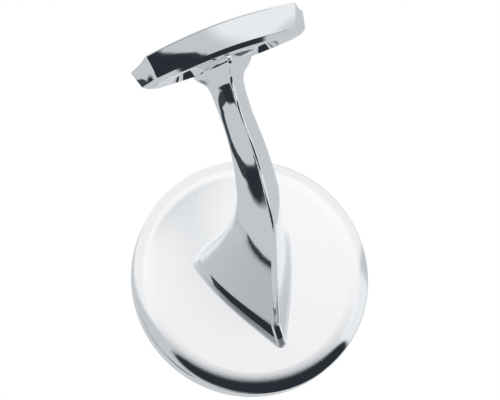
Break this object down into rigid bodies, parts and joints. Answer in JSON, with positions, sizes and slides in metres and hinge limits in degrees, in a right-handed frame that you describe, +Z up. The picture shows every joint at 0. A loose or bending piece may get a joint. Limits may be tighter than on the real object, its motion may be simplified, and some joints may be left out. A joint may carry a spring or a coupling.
{
  "type": "handrail bracket",
  "caption": "Chrome-plated cast handrail bracket: round domed wall rose, curved tapering arm and boat-shaped saddle with countersunk screw holes.",
  "frame": {"origin": "middle of the rose's back on the wall plane, at the mouth of the hole for the hanger bolt", "axes": "+X along the handrail, +Y into the wall so that the arm reaches out along -Y, +Z up"},
  "size_m": [0.07, 0.0897, 0.0899],
  "materials": {
    "chrome_plate": "polished"
  },
  "bodies": {
    "root": {"bracket_casting": "chrome_plate"}
  },
  "joints": []
}
